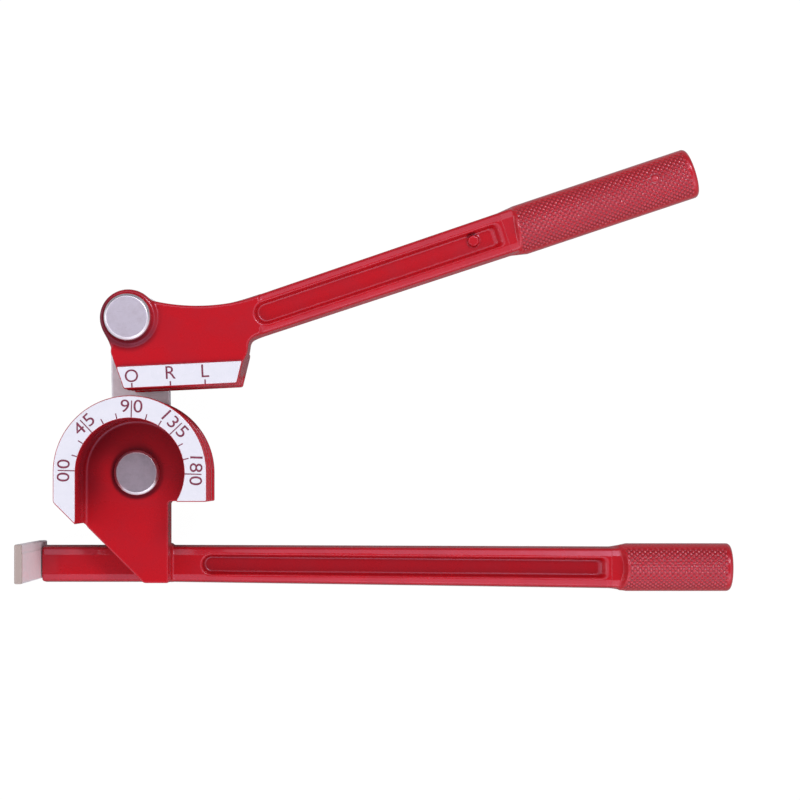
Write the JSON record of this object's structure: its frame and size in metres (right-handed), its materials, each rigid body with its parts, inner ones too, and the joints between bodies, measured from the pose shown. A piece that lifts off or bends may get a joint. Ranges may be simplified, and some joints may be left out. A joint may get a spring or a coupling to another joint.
{
  "type": "lever pipe bender",
  "caption": "Hand lever pipe bender: a handle with a grooved half-round former, a link, and a forming lever with a grooved shoe.",
  "frame": {"origin": "centre of the part's bounding box at the level of its rear face, on which it lies", "axes": "+X along the handle bar towards its grip, +Y from the bar towards the lever, +Z out of the scale face"},
  "size_m": [0.254, 0.1556, 0.0515],
  "materials": {
    "red_enamel": "glossy red enamel on a casting, white enamel on the scale face",
    "red_enamel_lever": "glossy red enamel on a casting, white enamel on the scale strip",
    "link_steel": "dull plated strip",
    "stop_steel": "bright plated strip",
    "pin_steel": "turned and plated, satin",
    "screw_steel": "plated, slightly dark",
    "washer_steel": "zinc plated",
    "spring_steel": "dark oiled spring steel",
    "bush_bronze": "sintered bronze, matte"
  },
  "bodies": {
    "former": {"former_handle": "red_enamel", "former_pin_bush": "bush_bronze", "tube_stop": "stop_steel", "tube_stop_screw_1": "screw_steel", "tube_stop_screw_2": "screw_steel"},
    "link": {"link_plate": "link_steel", "former_pin": "pin_steel", "lever_pin": "pin_steel", "former_pin_wave_washer": "spring_steel", "lever_pin_wave_washer": "spring_steel", "former_pin_washer": "washer_steel", "lever_pin_washer": "washer_steel", "former_pin_retaining_ring": "spring_steel", "lever_pin_retaining_ring": "spring_steel"},
    "lever": {"forming_lever": "red_enamel_lever", "lever_pin_front_bush": "bush_bronze", "lever_pin_rear_bush": "bush_bronze"}
  },
  "joints": [
    {"name": "link_swing", "type": "hinge", "parent": "former", "child": "link", "pos_m": [-0.0878, -0.03467, 0.0107], "axis": [0, 0, 1], "range_deg": [-95, 100]},
    {"name": "lever_swing", "type": "hinge", "parent": "link", "child": "lever", "pos_m": [-0.08845, 0.01883, 0.0305], "axis": [0, 0, 1], "range_deg": [-11, 170]}
  ]
}
